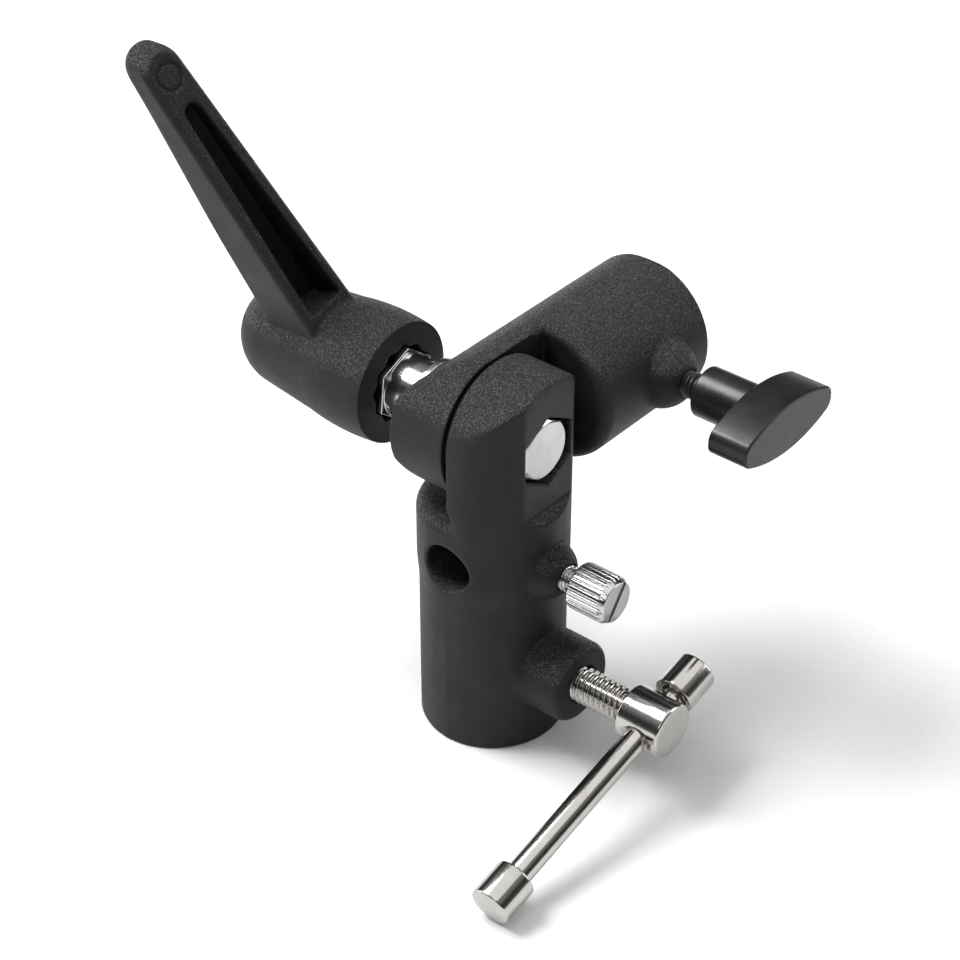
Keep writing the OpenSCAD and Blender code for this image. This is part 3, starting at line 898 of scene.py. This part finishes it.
def bar_cap(name, end, inward, node_name):
    """End cap with its closed face at end, open towards the bar."""
    r, length, hole = CAP["r"], CAP["length"], BAR_R + 0.03
    floor_at = length - CAP["depth"]
    outline = [(0, 0)] + rounded([(0, 0.01), (0, r), (length, r), (length, hole + 0.4),
                                  (length - 0.4, hole), (floor_at, hole), (floor_at, 0.01)],
                                 0.55, 6) + [(floor_at, 0)]
    obj = lathe(name, outline, Vector((BAR_X, 0, T_Z)) + BAR_WAY * end, BAR_WAY * inward, 96)
    finish_piece(obj, NICKEL, "t_bar", "nickel", node_name)


def thumb_field(x, y, z):
    v = z - THUMB_Z
    radial = np.hypot(y, v)
    angle = np.arctan2(v, y)
    phase = np.abs((angle * RIDGES / (2 * math.pi)) % 1.0 - 0.5)
    groove = RIDGE_DEPTH * np.exp(-((0.5 - phase) / 0.13) ** 2)
    side = radial - HEAD_R + groove
    back, front = THUMB[1][0] - THUMB_HEAD, THUMB[1][0]
    body = keep(side, (radial - HEAD_R + 0.72 + (x - front) * 0.5) * 0.894, 0.06)
    body = keep(body, (radial - HEAD_R + 0.45 + (back - x)) * 0.707, 0.15)
    body = keep(keep(body, x - front, 0.15), back - x, 0.15)
    p, q = turned(y, v, SLOT_TURN)
    slot = np.maximum(np.abs(p) - SLOT_HALF, front - SLOT_DEPTH - x)
    return cut(body, slot, 0.1)


def thumb_screw():
    back = THUMB[1][0] - THUMB_HEAD
    head = field_mesh("thumb_head", thumb_field, (back, -HEAD_R, THUMB_Z - HEAD_R),
                      (THUMB[1][0], HEAD_R, THUMB_Z + HEAD_R), 0.13)
    shank = thread("thumb_thread", CLAMP_R, CLAMP_PITCH, THUMB[0][0], back + 0.5,
                   (0, 0, THUMB_Z), (True, False))
    obj = merged("knurled_screw", head, shank)
    finish_piece(obj, ZINC, "thumb", "bright_zinc", "thumb_screw")


def wing_field(x, y, z):
    u, v = y - WING_Y, z - PIVOT_Z
    radial = np.hypot(u, v)
    start, end = WING_PLATE
    collar = keep(radial - WING_COLLAR_R, WING[0][0] - x, 0.45)
    collar = np.maximum(collar, x - start - 1)
    bow = (WING_LENS ** 2 + WING_THICK ** 2) / (2 * WING_THICK)
    off = bow - WING_THICK
    lens = np.maximum(np.hypot(u, v + off) - bow, np.hypot(u, v - off) - bow)
    lens = keep(lens, np.abs(u) - WING_HALF, 1.5)
    plate = keep(keep(lens, x - end, 0.4), start - x, 0.3)
    return cut(join(collar, plate, 0.15), np.maximum(radial - CLAMP_R + 0.05, x - STUD[1][0]), 0.2)


def wing_knob():
    low, high = WING
    obj = field_mesh("wing_grip", wing_field, low, high, 0.22)
    finish_piece(obj, KNOB, "wing", "black_knob", "wing_knob")


def wing_stud():
    obj = thread("wing_thread", CLAMP_R, CLAMP_PITCH, STUD[0][0], STUD[1][0] - 0.1,
                 (0, WING_Y, PIVOT_Z))
    finish_piece(obj, OXIDE, "wing", "black_thread", "wing_stud")


stand_socket()
arm_socket()
lever_handle()
friction_disc()
pivot_bolt()
arm_washer()
clamp_nut()
lever_screw()
spring_seat()
lever_spring()
t_screw()
pad("t_thrust_pad", T_PAD, 1.8, 1.5, (0, 0, T_Z), "t_pad", "t_screw_pad")
t_bar()
bar_cap("bar_cap_top", BAR_TOP, -1, "t_bar_cap_upper")
bar_cap("bar_cap_bottom", BAR_BOTTOM, 1, "t_bar_cap_lower")
thumb_screw()
pad("thumb_thrust_pad", THUMB_PAD, 1.4, 1.1, (0, 0, THUMB_Z), "thumb_pad", "thumb_screw_pad")
wing_knob()
wing_stud()
pad("wing_thrust_pad", WING_PAD, 1.4, 1.1, (0, WING_Y, PIVOT_Z), "wing_pad", "wing_screw_pad")


# ------------------------------------------------------------------ stage ---
def floor():
    mat, tree, shader = material("pale_floor", (0.74, 0.74, 0.74), 0.9)
    paper = noise(tree, 2.0, 3.0)
    tint = colours(tree, paper, 0.3, 0.7, (0.735, 0.735, 0.735), (0.75, 0.75, 0.75))
    tree.links.new(tint, shader.inputs["Base Color"])
    shader.inputs["Specular IOR Level"].default_value = 0.1
    half, drop = 12.0, -0.0002
    mesh = bpy.data.meshes.new("floor")
    mesh.from_pydata([(-half, -half, drop), (half, -half, drop), (half, half, drop),
                      (-half, half, drop)], [], [(0, 1, 2, 3)])
    obj = bpy.data.objects.new("floor", mesh)
    obj.data.materials.append(mat)
    bpy.context.scene.collection.objects.link(obj)


def area_light(name, place, size, power, target=(0, 0.005, 0.07)):
    data = bpy.data.lights.new(name, "AREA")
    data.shape = "RECTANGLE"
    data.size, data.size_y = size
    data.energy = power
    obj = bpy.data.objects.new(name, data)
    obj.location = place
    aim = Vector(target) - Vector(place)
    obj.rotation_euler = aim.to_track_quat("-Z", "Y").to_euler()
    bpy.context.scene.collection.objects.link(obj)


def sky():
    """White studio: bright overhead, darker round the horizon."""
    world = bpy.data.worlds.new("studio")
    bpy.context.scene.world = world
    world.use_nodes = True
    tree = world.node_tree
    shade = tree.nodes["Background"]
    place = node(tree, "ShaderNodeTexCoord")
    split = node(tree, "ShaderNodeSeparateXYZ")
    tree.links.new(place.outputs["Generated"], split.inputs["Vector"])
    ramp_node = node(tree, "ShaderNodeValToRGB")
    stops = ramp_node.color_ramp.elements
    stops[0].position, stops[0].color = 0.0, (0.9, 0.9, 0.9, 1)
    stops[1].position, stops[1].color = 1.0, (1.0, 1.0, 1.0, 1)
    for at, level in ((0.5, 0.75), (0.56, 0.16), (0.7, 0.1), (0.84, 0.65)):
        stop = stops.new(at)
        stop.color = (level, level, level, 1)
    height = node(tree, "ShaderNodeMapRange")
    height.inputs["From Min"].default_value = -1.0
    tree.links.new(split.outputs["Z"], height.inputs["Value"])
    tree.links.new(height.outputs["Result"], ramp_node.inputs["Fac"])
    tree.links.new(ramp_node.outputs["Color"], shade.inputs["Color"])
    shade.inputs["Strength"].default_value = 0.45


def camera():
    turn, rise = math.radians(39.943), math.radians(35.505)
    data = bpy.data.cameras.new("camera")
    data.lens, data.sensor_width = 93.49, 36.0
    data.clip_start, data.clip_end = 0.01, 50
    obj = bpy.data.objects.new("camera", data)
    obj.location = (0.26567, -0.32168, 0.35713)
    back = Vector((math.sin(turn) * math.cos(rise), -math.cos(turn) * math.cos(rise),
                   math.sin(rise)))
    obj.rotation_euler = (-back).to_track_quat("-Z", "Y").to_euler()
    bpy.context.scene.collection.objects.link(obj)
    bpy.context.scene.camera = obj


floor()
sky()
area_light("key", (-0.57, -0.2, 0.95), (0.55, 0.55), 18)
area_light("overhead", (0.15, 0.0, 1.15), (1.3, 1.3), 5)
area_light("left", (-1.0, -0.5, 0.3), (0.5, 0.6), 3)
area_light("right", (0.75, 0.75, 0.5), (0.5, 0.8), 4)
area_light("front", (0.5, -0.9, 0.8), (0.4, 0.4), 0.8)
camera()
bpy.context.scene.view_settings.view_transform = "Standard"
